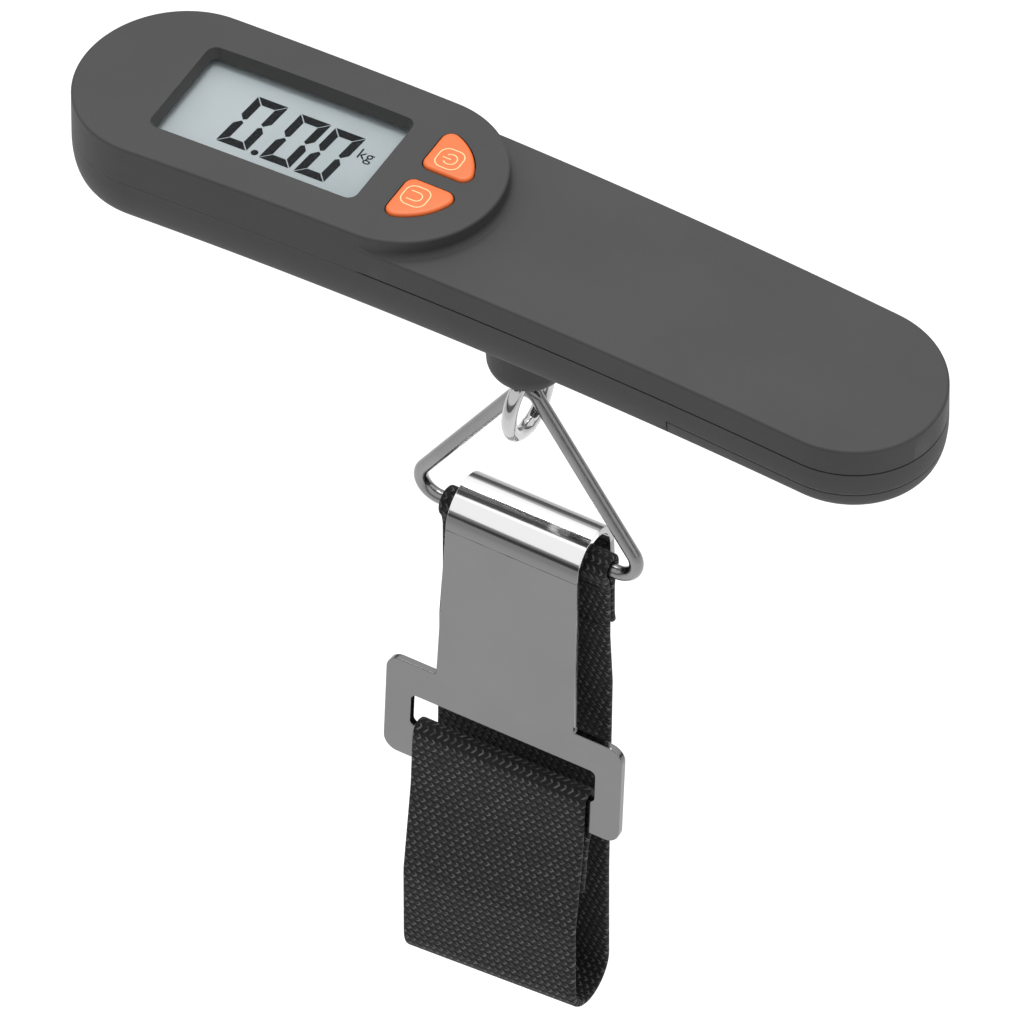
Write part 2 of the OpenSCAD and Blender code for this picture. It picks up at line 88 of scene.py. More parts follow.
# %% Shader helper
class Value:
    def __init__(self, tree, socket):
        self.tree, self.socket = tree, socket

    def node(self, kind, settings=None, output=0, **inputs):
        """Adds a node, sets its settings, fills its sockets by name or by i0, i1... and gives one output."""
        made = self.tree.nodes.new(kind)
        for key, value in (settings or {}).items():
            if key == "stops":
                ramp = made.color_ramp
                for position, _ in value[1:-1]:
                    ramp.elements.new(position)
                for element, (position, colour) in zip(ramp.elements, value):
                    element.position, element.color = position, colour
            else:
                setattr(made, key, value)
        for key, value in inputs.items():
            numbered = key[0] == "i" and key[1:].isdigit()
            socket = made.inputs[int(key[1:]) if numbered else key.replace("_", " ")]
            if isinstance(value, Value):
                self.tree.links.new(value.socket, socket)
            else:
                socket.default_value = value
        return Value(self.tree, made.outputs[output])

    def math(self, operation, *others):
        return self.node("ShaderNodeMath", {"operation": operation},
                         **{f"i{i}": v for i, v in enumerate((self, *others))})

    def __add__(self, other): return self.math("ADD", other)
    def __radd__(self, other): return self.math("ADD", other)
    def __sub__(self, other): return self.math("SUBTRACT", other)
    def __rsub__(self, other): return self.node("ShaderNodeMath", {"operation": "SUBTRACT"}, i0=other,
                                                i1=self)
    def __mul__(self, other): return self.math("MULTIPLY", other)
    def __rmul__(self, other): return self.math("MULTIPLY", other)
    def __truediv__(self, other): return self.math("DIVIDE", other)
    def __rtruediv__(self, other): return self.node("ShaderNodeMath", {"operation": "DIVIDE"}, i0=other,
                                                    i1=self)
    def __neg__(self): return self.math("MULTIPLY", -1.0)

    def smooth(self, low, high, to_low=0.0, to_high=1.0):
        """A soft step: to_low below low, to_high above high."""
        return self.node("ShaderNodeMapRange", {"interpolation_type": "SMOOTHSTEP"}, Value=self,
                         From_Min=low, From_Max=high, To_Min=to_low, To_Max=to_high)

    def colours(self, low, high):
        """Blends two colours by this value."""
        return self.node("ShaderNodeMix", {"data_type": "RGBA"}, 2, i0=self, i6=(*low, 1), i7=(*high, 1))

    def noise(self, scale, detail=3.0, roughness=0.5):
        """Noise read at this place."""
        return self.node("ShaderNodeTexNoise", None, 0, Vector=self, Scale=scale, Detail=detail,
                         Roughness=roughness)

    def bump(self, strength, distance):
        return self.node("ShaderNodeBump", None, 0, Strength=strength, Distance=distance, Height=self)

    def split(self):
        parts = self.tree.nodes.new("ShaderNodeSeparateXYZ")
        self.tree.links.new(self.socket, parts.inputs[0])
        return [Value(self.tree, out) for out in parts.outputs]


print("shader helper:", [name for name in vars(Value) if name[0] != "_"])

# %% [markdown]
# The studio is a pale floor well below the hanging strap, a broad soft light overhead, and a
# sky of long bright and dark bands, like the panels and gaps of a studio. Polished steel shows
# what stands round it, and the bands make it look like steel. Their place is the angle from
# the front horizon, over the top, to the back horizon.

# %% Studio
def soft_light(name, place, target, size, power):
    light = bpy.data.objects.new(name, bpy.data.lights.new(name, "AREA"))
    scene.collection.objects.link(light)
    light.data.size, light.data.energy = size, power
    light.location = place
    light.rotation_mode = "QUATERNION"
    light.rotation_quaternion = (Vector(place) - Vector(target)).to_track_quat("Z", "Y")
    return light


soft_light("overhead", (-0.25, 0.35, 1.2), (0, 0, -0.02), 0.7, 9)

world = bpy.data.worlds.new("studio")
scene.world = world
world.use_nodes = True
sky = world.node_tree
sky.nodes.clear()
toward = Value(sky, sky.nodes.new("ShaderNodeTexCoord").outputs["Generated"])
_, depth, height = toward.split()
over_the_top = height.math("ARCTAN2", -depth) / math.pi
SKY_BANDS = ((0.0, 0.16), (0.09, 0.17), (0.11, 1.0), (0.36, 1.0), (0.38, 1.25), (0.66, 1.25), (0.86, 1.0),
             (0.90, 0.25), (1.0, 0.15))
bands = over_the_top.node("ShaderNodeValToRGB", {"stops": [(at, (grey, grey, grey, 1)) for at,
                                                           grey in SKY_BANDS]}, Fac=over_the_top)
glow = bands.node("ShaderNodeBackground", None, 0, Color=bands, Strength=1.0)
sky.links.new(glow.socket, sky.nodes.new("ShaderNodeOutputWorld").inputs["Surface"])
print("sky bands:", SKY_BANDS)

# %% [markdown]
# Every mesh below comes out of numpy arrays. A closed grid is wrapped round one way or both,
# and its ends are closed with fans or strips. These helpers turn arrays into pieces.

# %% Mesh helpers
def new_piece(name, vertices_mm, faces, crease=35):
    """Makes a mesh object from millimetre corners. Shading is smooth up to the crease angle."""
    mesh = bpy.data.meshes.new(name)
    mesh.from_pydata((np.asarray(vertices_mm, float) * MM).tolist(), [], [list(f) for f in faces])
    mesh.validate()
    piece = bpy.data.objects.new(name, mesh)
    scene.collection.objects.link(piece)
    tidy_normals(piece, crease)
    return piece


def tidy_normals(piece, crease):
    """Merges doubled corners, turns all faces outwards, and marks the edges sharper than crease."""
    bm = bmesh.new()
    bm.from_mesh(piece.data)
    bmesh.ops.remove_doubles(bm, verts=bm.verts, dist=1e-7)
    bmesh.ops.recalc_face_normals(bm, faces=bm.faces)
    bm.to_mesh(piece.data)
    bm.free()
    piece.data.shade_smooth()
    piece.data.set_sharp_from_angle(angle=math.radians(crease))


def grid_quads(rows, columns, wrap_rows=False, wrap_columns=False):
    """Corner numbers of the quads of a grid that is stored row after row."""
    r, c = np.meshgrid(np.arange(rows - (not wrap_rows)), np.arange(columns - (not wrap_columns)),
                       indexing="ij")
    r2, c2 = (r + 1) % rows, (c + 1) % columns
    return np.stack([r * columns + c, r * columns + c2, r2 * columns + c2, r2 * columns + c],
                    -1).reshape(-1, 4)


def end_caps(rows, n):
    """The two faces that close a tube of so many rows, each of n corners."""
    return [list(range(n)), list(range((rows - 1) * n, rows * n))]


def join(parts):
    """Puts (corners, faces) pairs into one list of corners and one of faces."""
    corners, faces, start = [], [], 0
    for part_corners, part_faces in parts:
        corners.append(np.asarray(part_corners, float))
        faces += [[i + start for i in face] for face in part_faces]
        start += len(part_corners)
    return np.concatenate(corners), faces


def unit(v):
    return v / np.linalg.norm(v, axis=-1, keepdims=True)


def round_wire(path, radius, sides=32, loop=True):
    """Corners and faces of a wire: circles of radius round every point of a path, square to its direction."""
    path = np.asarray(path, float)
    ahead = unit(np.roll(path, -1, 0) - np.roll(path, 1, 0))
    if not loop:
        ahead[0], ahead[-1] = unit(path[1] - path[0]), unit(path[-1] - path[-2])
    guide = np.array([0.0, 0.0, 1.0]) if np.ptp(path[:, 2]) < 1e-6 else np.array([0.0, 1.0, 0.0])
    if loop and np.ptp(path[:, 0]) < 1e-6:
        guide = np.array([1.0, 0.0, 0.0])
    across = unit(np.cross(ahead, guide))
    lift = np.cross(across, ahead)
    turn = np.linspace(0, 2 * np.pi, sides, endpoint=False)
    radius = np.broadcast_to(np.asarray(radius, float), len(path))[:, None, None]
    rings = path[:, None] + radius * (np.cos(turn)[None, :, None] * across[:, None]
                                      + np.sin(turn)[None, :, None] * lift[:, None])
    faces = grid_quads(len(path), sides, wrap_rows=loop, wrap_columns=True).tolist()
    if not loop:
        faces += end_caps(len(path), sides)
    return rings.reshape(-1, 3), faces


def arc(centre, radius, start, end, steps):
    """Points on a circle in a plane, from one angle to another, in degrees."""
    a = np.radians(np.linspace(start, end, steps + 1))
    return np.stack([centre[0] + radius * np.cos(a), centre[1] + radius * np.sin(a)], -1)


def finished(piece, body, slot, *replaced):
    """Says which body a piece rides on and which CAD nodes it stands for; the slot argument is not used."""
    if body:
        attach(piece, body)
    if replaced:
        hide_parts(*replaced)
    return piece


# %% Material helpers
def new_material(name, **settings):
    """A material with one Principled shader; returns it, its shader, and its Object coordinates in metres."""
    material = bpy.data.materials.new(name)
    material.use_nodes = True
    shader = material.node_tree.nodes["Principled BSDF"]
    for key, value in settings.items():
        shader.inputs[key.replace("_", " ")].default_value = value
    place = material.node_tree.nodes.new("ShaderNodeTexCoord")
    return material, shader, Value(material.node_tree, place.outputs["Object"])


def feed(shader, socket, value):
    value.tree.links.new(value.socket, shader.inputs[socket])


def paint(thing, material):
    thing.data.materials.clear()
    thing.data.materials.append(material)


# %% [markdown]
# ## Finishes
#
# The housing is a dark grey moulding with a very fine spark-eroded grain. The keys are the
# same kind of plastic in orange, moulded smoother.

# %% Plastics
def moulded(name, low, high, roughness, grain=0.25, **more):
    """Plastic: two close colours mottled by broad noise, and a fine grain in the bump."""
    material, shader, place = new_material(name, Roughness=roughness, **more)
    mottle = place.noise(60.0, 4.0)
    fine = place.noise(5200.0, 2.0)
    feed(shader, "Base Color", mottle.smooth(0.3, 0.7).colours(low, high))
    feed(shader, "Roughness", fine.smooth(0.3, 0.7, roughness - 0.04, roughness + 0.05))
    feed(shader, "Normal", fine.bump(grain, 0.00002))
    return material


housing_plastic = moulded("housing_plastic", (0.042, 0.042, 0.042), (0.046, 0.046, 0.046), 0.58,
                          Specular_IOR_Level=0.25)
orange_plastic = moulded("orange_plastic", (0.68, 0.125, 0.022), (0.72, 0.138, 0.026), 0.45, 0.1)
cream_print = moulded("cream_print", (0.80, 0.52, 0.26), (0.85, 0.56, 0.30), 0.5, 0.1)
white_plastic = moulded("white_plastic", (0.60, 0.60, 0.57), (0.66, 0.66, 0.63), 0.5)
black_plastic = moulded("black_plastic", (0.018, 0.018, 0.018), (0.025, 0.025, 0.025), 0.45)

# %% [markdown]
# Drawn wire is satin with faint lines; the eye is polished; the buckle's sheet is flat
# satin with fine brushing along its length. All are real metals: Metallic is 1.

# %% Metals
def metal(name, low, high, roughness, stretch=(400.0, 400.0, 40.0), depth=0.3):
    """Metal whose noise is stretched along the direction it was drawn or brushed in."""
    material, shader, place = new_material(name, Metallic=1.0, Roughness=roughness)
    lines = place.node("ShaderNodeMapping", None, 0, Vector=place, Scale=stretch).noise(6.0, 4.0, 0.6)
    feed(shader, "Base Color", place.noise(90.0).smooth(0.3, 0.7).colours(low, high))
    feed(shader, "Roughness", lines.smooth(0.25, 0.75, roughness - 0.05, roughness + 0.08))
    feed(shader, "Normal", lines.bump(depth, 0.00001))
    return material


satin_steel = metal("satin_steel", (0.225, 0.225, 0.225), (0.27, 0.27, 0.27), 0.22)
polished_steel = metal("polished_steel", (0.50, 0.50, 0.50), (0.60, 0.60, 0.60), 0.10)
buckle_steel = metal("buckle_steel", (0.205, 0.205, 0.205), (0.215, 0.215, 0.215), 0.11,
                     (900.0, 900.0, 60.0), 0.08)
screw_steel = metal("screw_steel", (0.50, 0.50, 0.51), (0.58, 0.58, 0.58), 0.35)
beam_aluminium = metal("beam_aluminium", (0.72, 0.72, 0.73), (0.78, 0.78, 0.79), 0.32, (60.0, 600.0, 600.0))
contact_brass = metal("contact_brass", (0.72, 0.55, 0.25), (0.80, 0.62, 0.30), 0.3)

# %% [markdown]
# Webbing is a narrow cloth woven tight. Its own UV map is in metres, across and along, so
# that the rows of grey flecks follow every bend. Each fleck is one float of lighter yarn:
# two short slants that meet in a point, in rows that step sideways.

# %% Webbing cloth
FLECK_ACROSS, FLECK_ALONG = 0.00128, 0.00128

webbing, shader, place = new_material("webbing", Roughness=0.8, Specular_IOR_Level=0.3, Sheen_Weight=0.03,
                                      Sheen_Roughness=0.5)
cloth_map = webbing.node_tree.nodes.new("ShaderNodeUVMap")
cloth_map.uv_map = "cloth"
across, along, _ = Value(webbing.node_tree, cloth_map.outputs[0]).split()
row = along / FLECK_ALONG
shifted = across / FLECK_ACROSS + row.math("FLOOR") * 0.31
cell_x = shifted.math("FRACT") - 0.5
cell_y = row.math("FRACT") - 0.5
slant = (cell_x + cell_y.math("ABSOLUTE") * 1.1 - 0.20).math("ABSOLUTE")
fleck = slant.smooth(0.10, 0.20, 1.0, 0.0) * (cell_y + 0.08).math("ABSOLUTE").smooth(0.26, 0.40, 1.0, 0.0)
uneven = place.noise(900.0, 2.0).smooth(0.35, 0.65, 0.30, 1.0)
ribs = (cell_x.math("ABSOLUTE") + cell_y.math("ABSOLUTE")).smooth(0.2, 0.9, 1.0, 0.0)
feed(shader, "Base Color", (fleck * uneven).colours((0.007, 0.007, 0.007), (0.12, 0.12, 0.12)))
feed(shader, "Normal", (ribs + fleck * 0.8 + place.noise(3000.0, 2.0) * 0.4).bump(0.9, 0.00018))
thread = moulded("thread", (0.012, 0.012, 0.012), (0.02, 0.02, 0.02), 0.7, 0.6)

# %% [markdown]
# ## The housing
#
# Both halves follow one gentle arch. Their CAD solids have the right walls, holes and posts,
# but sharp outer edges. A fine, closed envelope with the true rounded section is cut with a
# copy of each half, so the holes stay and the outside becomes smooth.

# %% Housing measures, in millimetres
ARCH_R = 886.0
MID_X, BODY_L, DISPLAY_R, HANDLE_R = -3.5, 156.0, 17.1, 16.0
X1, X2 = MID_X - BODY_L / 2 + DISPLAY_R, MID_X + BODY_L / 2 - HANDLE_R
PLATEAU, PAD_H, PAD_RISE = 5.1, 8.45, 0.0143
PAD_X = MID_X - 2.35
WINDOW_X = MID_X - 42.0
EDGE = 0.45
SKIN = 0.02


def half_width(x):
    return DISPLAY_R + (HANDLE_R - DISPLAY_R) * (x - X1) / (X2 - X1)


PAD_R = half_width(PAD_X - DISPLAY_R)


def arch(x):
    """The arch drops by x squared over twice its radius."""
    return -(x - MID_X) ** 2 / (2 * ARCH_R)


def pad_top(x):
    """The pad follows the same arch, and climbs a little towards the handle."""
    return PAD_H + PAD_RISE * (x - MID_X) + arch(x)


def outline(inset, right_x, right_r, steps=48, straight=56):
    """The housing seen from above, drawn inwards by inset: two arcs joined by straight sides.
    Point i and point -i mirror each other across y = 0."""
    side = math.degrees(math.asin((DISPLAY_R - right_r) / (right_x - X1)))
    first = arc((right_x, 0), right_r - inset, 0, 90 - side, steps)
    last = arc((X1, 0), DISPLAY_R - inset, 90 - side, 180, steps)
    t = np.linspace(0, 1, straight + 1)[1:-1, None]
    upper = np.concatenate([first, first[-1] * (1 - t) + last[0] * t, last])
    return np.concatenate([upper, (upper * [1, -1])[-2:0:-1]])


def stack(rings):
    """A closed solid from mirrored outlines laid above each other; strips across close both ends."""
    n = len(rings[0])
    faces = grid_quads(len(rings), n, wrap_columns=True).tolist()
    for start in (0, (len(rings) - 1) * n):
        for i in range(n // 2):
            quad = [start + i, start + i + 1, start + (n - i - 1) % n, start + (n - i) % n]
            faces.append(list(dict.fromkeys(quad)))
    return np.concatenate(rings), faces


def ring_at(inset, height, dz, right_x=X2, right_r=HANDLE_R):
    flat = outline(inset, right_x, right_r)
    return np.column_stack([flat, height(flat[:, 0]) + dz])


def rounding(radius, steps=7):
    """Inset and drop of a quarter-round edge, from the wall to the top."""
    a = np.radians(np.linspace(0, 90, steps + 1))
    return zip(radius * (1 - np.cos(a)), radius * (np.sin(a) - 1))


body_rings = [ring_at(SKIN, arch, 0.0)] + [
    ring_at(SKIN + i, arch, PLATEAU - SKIN + dz) for i, dz in rounding(EDGE)]
pad_rings = [ring_at(SKIN + 0.01, arch, -1.2, PAD_X - PAD_R, PAD_R)] + [
    ring_at(SKIN + 0.01 + i, pad_top, dz - SKIN, PAD_X - PAD_R, PAD_R) for i, dz in rounding(EDGE)]
belly_rings = [ring_at(0.95, arch, 2.0), ring_at(0.95, arch, -0.3), ring_at(SKIN, arch, -0.3),
               ring_at(SKIN, arch, -1.94)] + [
    ring_at(SKIN + 1.8 * (1 - math.cos(t)), arch, -1.94 - 6.54 * math.sin(t))
                                              for t in np.radians(np.arange(7.5, 91, 7.5))]

# %% [markdown]
# Many small parts start as a flat outline: the display, its window and the two keys. The
# keys' outline is a sector of a circle with its corners rounded, cut by the gap between them.

# %% Flat outlines and key outlines
def rounded_rectangle(length, width, radius, steps=8):
    """Four quarter circles at the corners of a rectangle."""
    corners = ((1, 1, 0), (-1, 1, 90), (-1, -1, 180), (1, -1, 270))
    return np.concatenate([arc((sx * (length / 2 - radius), sy * (width / 2 - radius)), radius, a, a + 90,
                               steps) for sx, sy, a in corners])


def slab(outline_uv, low, high):
    """A flat outline given a thickness from low to high."""
    n = len(outline_uv)
    rings = [np.column_stack([outline_uv, np.full(n, w)]) for w in (low, high)]
    faces = grid_quads(2, n, wrap_columns=True).tolist() + end_caps(2, n)
    return np.concatenate(rings), faces


KEY_X = PAD_X - PAD_R + 0.35
KEY_R, KEY_CUT, KEY_GAP, KEY_ROUND, KEY_PROUD = 10.75, 1.4, 1.45, 1.7, 0.45


def key_outline(inset):
    """Half of the D, offset inwards: an arc, the flat cut and the gap edge, with rounded corners."""
    r, x0, y0, q = KEY_R - inset, KEY_CUT + inset, KEY_GAP + inset, max(KEY_ROUND - inset, 0.05)
    lower = math.degrees(math.asin((y0 + q) / (r - q)))
    upper = math.degrees(math.acos((x0 + q) / (r - q)))
    c1 = (r - q) * np.array([math.cos(math.radians(lower)), math.sin(math.radians(lower))])
    c2 = (r - q) * np.array([math.cos(math.radians(upper)), math.sin(math.radians(upper))])
    return np.concatenate([arc(c1, q, -90, lower, 12), arc((0, 0), r, lower + 1, upper - 1, 30),
                           arc(c2, q, upper, 180, 12), arc((x0 + q, y0 + q), q, 180, 270, 12)])

# %% [markdown]
# A Boolean modifier with the exact solver joins and cuts the closed solids. The result is
# baked straight away, so no modifier stays live.

# %% Cutting
def baked(piece, crease=35):
    """Applies every modifier on a piece. Faces that look nearly straight up stay flat-shaded: they
    are so fine that the arch looks smooth, and long thin faces then can't pull the shading."""
    bpy.context.view_layer.update()
    mesh = bpy.data.meshes.new_from_object(piece.evaluated_get(bpy.context.evaluated_depsgraph_get()))
    piece.modifiers.clear()
    piece.data = mesh
    mesh.shade_smooth()
    mesh.set_sharp_from_angle(angle=math.radians(crease))
    facing = np.zeros(len(mesh.polygons) * 3, np.float32)
    mesh.polygons.foreach_get("normal", facing)
    mesh.polygons.foreach_set("use_smooth", facing[2::3] < 0.985)
    return piece


def combine(piece, other, operation, crease=35):
    cut = piece.modifiers.new("combine", "BOOLEAN")
    cut.operation, cut.solver, cut.object = operation, "EXACT", other
    baked(piece, crease)
    bpy.data.objects.remove(other)
    return piece


def copy_of(node, name):
    """A merged copy of a CAD node's mesh."""
    piece = bpy.data.objects.new(name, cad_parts[node].data.copy())
    scene.collection.objects.link(piece)
    bm = bmesh.new()
    bm.from_mesh(piece.data)
    bmesh.ops.remove_doubles(bm, verts=bm.verts, dist=2e-7)
    bm.to_mesh(piece.data)
    bm.free()
    return piece


def weigh(piece):
    """Normals weighted by face size, so that large faces look flat beside their rounded edges."""
    weight = piece.modifiers.new("weight", "WEIGHTED_NORMAL")
    weight.keep_sharp = True
    return piece


def swell(piece, push=0.4):
    """Moves the corners on a copy's outer walls outwards and those on its upper, lower and seam
    faces up or down by push, so that the smooth envelope alone decides those surfaces."""
    mesh = piece.data
    p = np.zeros(len(mesh.vertices) * 3, np.float32)
    mesh.vertices.foreach_get("co", p)
    p = p.reshape(-1, 3).astype(float) / MM
    x, y, z = p.T
    end_x = np.clip(x, X1, X2)
    from_axis = np.stack([x - end_x, y], -1)
    reach = np.linalg.norm(from_axis, axis=1)
    outer = (half_width(end_x) - reach < 0.25) & (z > arch(x) - 9)
    pad_axis = np.stack([x - (PAD_X - PAD_R), y], -1)
    pad_reach = np.linalg.norm(pad_axis, axis=1)
    pad_end = (x > PAD_X - PAD_R) & (abs(pad_reach - PAD_R) < 0.2) & (z > arch(x) + PLATEAU - 0.3)
    above = (abs(z - pad_top(x)) < 0.2) | ((abs(z - arch(x)
                                                - PLATEAU) < 0.2) & ((x > PAD_X
                                                                      - PAD_R) & (pad_reach > PAD_R - 0.3)))
    below = (abs(z - arch(x) + 8.5) < 0.25) & (np.hypot(x, y) > 11.5)
    p[:, :2] += push * np.where(outer, 1, 0)[:, None] * from_axis / np.maximum(reach, 1)[:, None]
    p[:, :2] += push * np.where(pad_end, 1, 0)[:, None] * pad_axis / np.maximum(pad_reach, 1)[:, None]
    p[:, 2] += push * (above * 1.0 - below * 1.0)
    return p


def seam_move(piece, p, height, push):
    """Moves the corners that lie on the face at a height above the arch up or down by push."""
    flat = abs(p[:, 2] - arch(p[:, 0]) - height) < 0.12
    p[flat, 2] += push
    piece.data.vertices.foreach_set("co", (p * MM).astype(np.float32).ravel())
    piece.data.update()
    return piece


def key_hole(side, name):
    """A tall prism with the outline of a key and a small gap round it."""
    line = key_outline(-0.2) * [1, side]
    corners, faces = slab(line, -4, 4)
    corners[:, 0] += KEY_X
    corners[:, 2] += pad_top(KEY_X + 5)
    return new_piece(name, corners, faces)


top_envelope = combine(new_piece("top_envelope", *stack(body_rings)),
                       new_piece("pad_envelope", *stack(pad_rings)), "UNION")
top_shell = copy_of("top_shell", "top_shell_skin")
seam_move(top_shell, swell(top_shell), 0.0, -0.4)
plug_corners, plug_faces = slab(np.concatenate([arc((KEY_X, 0), KEY_R + 0.9, -82, 82, 40),
                                                [[KEY_X + 0.7, 11.4], [KEY_X + 0.7, -11.4]]]), 0, 0)
n = len(plug_corners) // 2
plug_corners[:n, 2] = pad_top(plug_corners[:n, 0]) - 1.75
plug_corners[n:, 2] = pad_top(plug_corners[n:, 0]) + 1.0
combine(top_shell, new_piece("key_plug", plug_corners, plug_faces), "UNION")
combine(top_shell, top_envelope, "INTERSECT")
for side in (1, -1):
    combine(top_shell, key_hole(side, "key_hole"), "DIFFERENCE")
paint(top_shell, housing_plastic)
finished(weigh(top_shell), "housing", "housing_plastic", "top_shell")

neck_room, neck_faces = round_wire([(0, 0, -32), (0, 0, -4.5)], 11.6, 64, loop=False)
neck_cylinder = new_piece("neck_room", neck_room, neck_faces)
belly = combine(new_piece("belly", *stack(belly_rings)), neck_cylinder, "UNION")
bottom_shell = copy_of("bottom_shell", "bottom_shell_skin")
seam_move(bottom_shell, swell(bottom_shell), -0.3, 0.2)
combine(bottom_shell, belly, "INTERSECT")
paint(bottom_shell, housing_plastic)
finished(weigh(bottom_shell), "housing", "housing_plastic", "bottom_shell")

battery_cover = copy_of("battery_cover", "battery_cover_skin")
seam_move(battery_cover, swell(battery_cover), 50.0, 0.0)
combine(battery_cover, new_piece("belly_again", *stack(belly_rings)), "INTERSECT")
paint(battery_cover, housing_plastic)
finished(weigh(battery_cover), "battery_cover", "housing_plastic", "battery_cover")
for piece in (top_shell, bottom_shell, battery_cover):
    print(piece.name, len(piece.data.vertices), "corners")

# %% [markdown]
# The pad's round end runs out into the plateau in a soft hollow. It is a thin strip whose
# section is a concave quarter circle, carried round the pad's end and squeezed to the
# housing's side where it meets it.

# %% Foot of the pad
FOOT = 0.9
hollow = np.concatenate([arc((FOOT, FOOT), FOOT, 180, 270, 8),
                         [[FOOT + 0.25, -0.25], [-0.6, -0.25], [-0.6, FOOT]]])
turn = np.radians(np.linspace(-89, 89, 120))[:, None]
radius = PAD_R - SKIN + hollow[None, :, 0]
foot_x = PAD_X - PAD_R + radius * np.cos(turn)
foot_y = np.clip(radius * np.sin(turn), -half_width(foot_x) + 0.05, half_width(foot_x) - 0.05)
foot_z = arch(foot_x) + PLATEAU - SKIN + hollow[None, :, 1] + 0 * turn
corners = np.stack([foot_x, foot_y, foot_z], -1).reshape(-1, 3)
n = len(hollow)
faces = grid_quads(120, n, wrap_columns=True).tolist() + end_caps(120, n)
foot = new_piece("pad_foot", corners, faces, 50)
paint(foot, housing_plastic)
finished(foot, "housing", "housing_plastic")

# %% [markdown]
# ## The display
#
# The display stands in its own tilted frame: u along the window, v across it, w up.
# The liquid crystal panel is a pale grey-green; behind it lie its film and holder.

# %% Display frame
TILT = math.atan(PAD_RISE + 42.0 / ARCH_R)


def display_point(uvw):
    """Turns display coordinates into the frame's: a tilt about Y, then a shift to the window's middle."""
    u, v, w = np.asarray(uvw, float).T
    c, s = math.cos(TILT), math.sin(TILT)
    return np.column_stack([WINDOW_X + u * c - w * s, v, pad_top(WINDOW_X) + u * s + w * c])


panel_corners, panel_faces = slab(rounded_rectangle(38.0, 20.8, 0.4), -4.9, -3.3)
panel = new_piece("lcd_panel", display_point(panel_corners), panel_faces)
lcd_material, shader, place = new_material("lcd", Roughness=0.35)
cloud = place.noise(45.0, 2.0).smooth(0.3, 0.7)
feed(shader, "Base Color", cloud.colours((0.32, 0.37, 0.385), (0.37, 0.415, 0.43)))
paint(panel, lcd_material)
finished(panel, "housing", "lcd", "lcd_glass")

lens_corners, lens_faces = slab(rounded_rectangle(38.6, 20.6, 0.8), -2.35, -2.17)
lens = new_piece("window_lens", display_point(lens_corners), lens_faces)
lens_material, shader, place = new_material("clear_window", Roughness=0.06, Alpha=0.05)
feed(shader, "Base Color", place.noise(40.0).smooth(0.3, 0.7).colours((0.02, 0.025, 0.03),
                                                                      (0.03, 0.035, 0.04)))
paint(lens, lens_material)
finished(lens, "housing", "clear_window", "display_lens")

# %% [markdown]
# A seven-segment figure is made of six-sided bars with mitred ends, a hair apart. A nought
# uses six of them. The bars lean a few degrees.

# %% Segments
DIGIT_W, DIGIT_H, STROKE, HAIR, LEAN = 5.6, 11.6, 1.5, 0.13, math.tan(math.radians(5))


def nought(left, bottom):
    """Six mitred bars round a tall rectangle: two upright pairs and a bar at each end."""
    w, h, s, g = DIGIT_W, DIGIT_H, STROKE, HAIR
    bars = [[(g, 0), (w - g, 0), (w - s - g, s), (s + g, s)],
            [(g, h), (w - g, h), (w - s - g, h - s), (s + g, h - s)]]
    for flip in (1, -1):
        for side in (1, -1):
            bar = [(0, g), (s, s + g), (s, h / 2 - g - s * 0.25), (s * 0.62, h / 2 - g),
                   (0, h / 2 - s * 0.78)]
            bars.append([(x if side > 0 else w - x, y if flip > 0 else h - y) for x, y in bar])
    return [[(left + x + y * LEAN, bottom + y) for x, y in bar] for bar in bars]


bars = [bar for left, low in ((-8.8, -5.7), (-0.7, -6.0), (5.8, -6.2)) for bar in nought(left, low)]
bars.append(arc((-1.8, -5.4), 0.62, 0, 340, 17).tolist())
figures = new_piece("lcd_figures", *(lambda v, f: (display_point(v),
                                                   f))(*join([slab(np.array(bar), -3.31, -3.26)
                                                              for bar in bars])))
ink, shader, place = new_material("lcd_ink", Roughness=0.6, Specular_IOR_Level=0.1)
feed(shader, "Base Color", place.noise(80.0).smooth(0.3, 0.7).colours((0.004, 0.005, 0.006),
                                                                      (0.007, 0.008, 0.010)))
paint(figures, ink)
finished(figures, "housing", "lcd")

letters = bpy.data.curves.new("unit_letters", "FONT")
letters.body, letters.size, letters.extrude = "kg", 3.2 * MM, 0.02 * MM
lettering = bpy.data.objects.new("unit_letters", letters)
scene.collection.objects.link(lettering)
bpy.context.view_layer.update()
letter_mesh = bpy.data.meshes.new_from_object(lettering.evaluated_get(bpy.context.evaluated_depsgraph_get()))
bpy.data.objects.remove(lettering)
letter_points = np.array([v.co for v in letter_mesh.vertices]) / MM + [12.9, 1.1, -3.28]
unit_mark = new_piece("unit_mark", display_point(letter_points),
                      [list(p.vertices) for p in letter_mesh.polygons])
paint(unit_mark, ink)
finished(unit_mark, "housing", "lcd")

# %% [markdown]
# ## The keys
#
# The two keys are the halves of a D. Each is a crowned cap with rounded corners: its outline
# is drawn in towards its middle as it climbs round the edge, then over a shallow dome.

# %% Keys
def key_height(x):
    return pad_top(x) + KEY_PROUD


